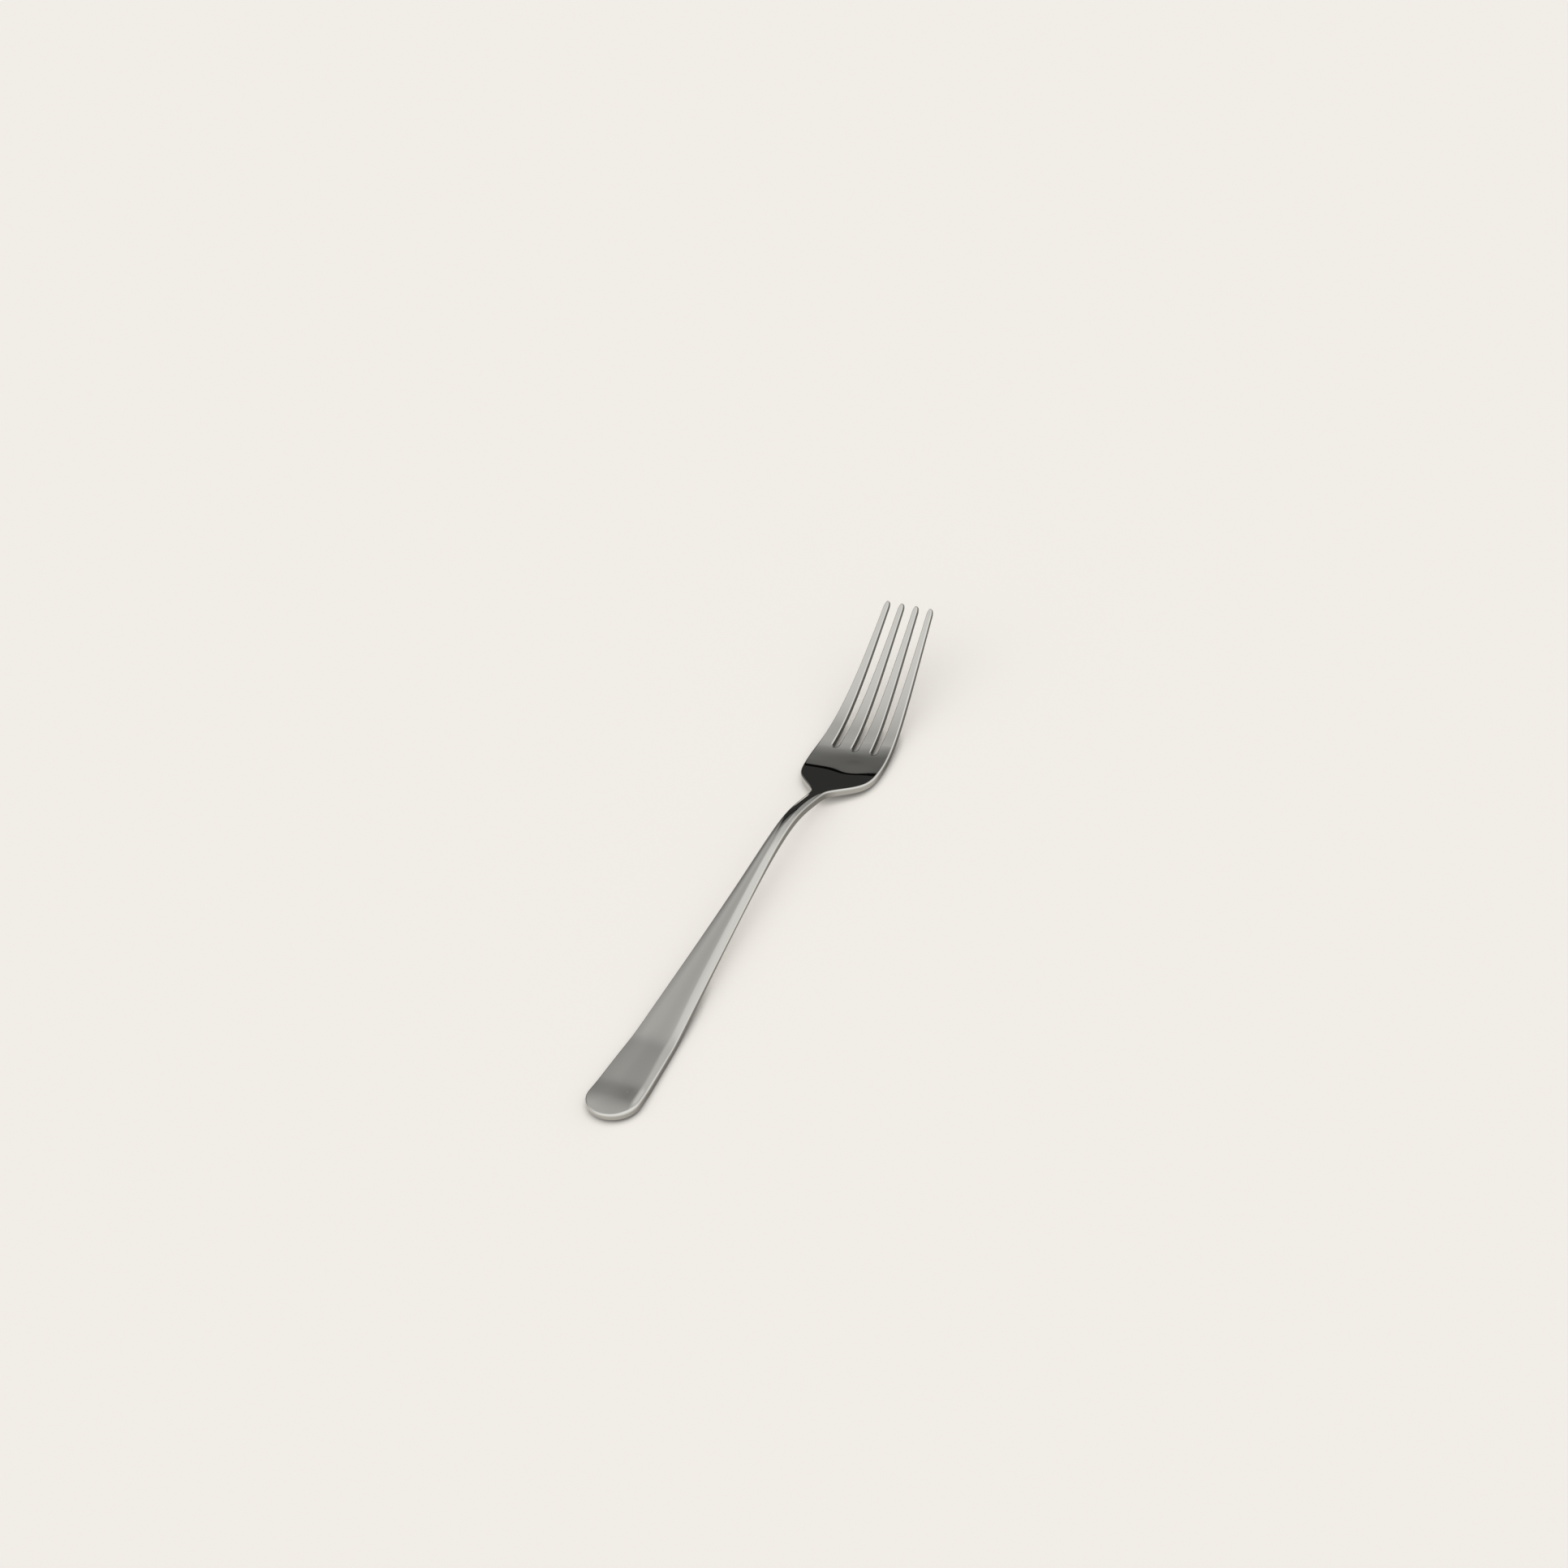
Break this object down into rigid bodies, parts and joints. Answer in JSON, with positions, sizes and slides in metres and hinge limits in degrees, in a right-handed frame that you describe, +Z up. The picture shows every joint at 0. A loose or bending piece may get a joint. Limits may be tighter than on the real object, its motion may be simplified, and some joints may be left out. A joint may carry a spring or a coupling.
{
  "type": "fork",
  "caption": "Dinner fork in one piece of polished stainless steel, with a crowned handle, a narrow neck and a dished head with slender tapering tines",
  "frame": {"origin": "On the table, under the middle of the fork's length and width, where the fork lies on its back", "axes": "+X runs from the rounded end of the handle to the tips, +Y across the head, +Z up from the table"},
  "size_m": [0.1999, 0.0258, 0.0213],
  "materials": {
    "steel": "polished"
  },
  "bodies": {
    "root": {"fork": "steel"}
  },
  "joints": []
}
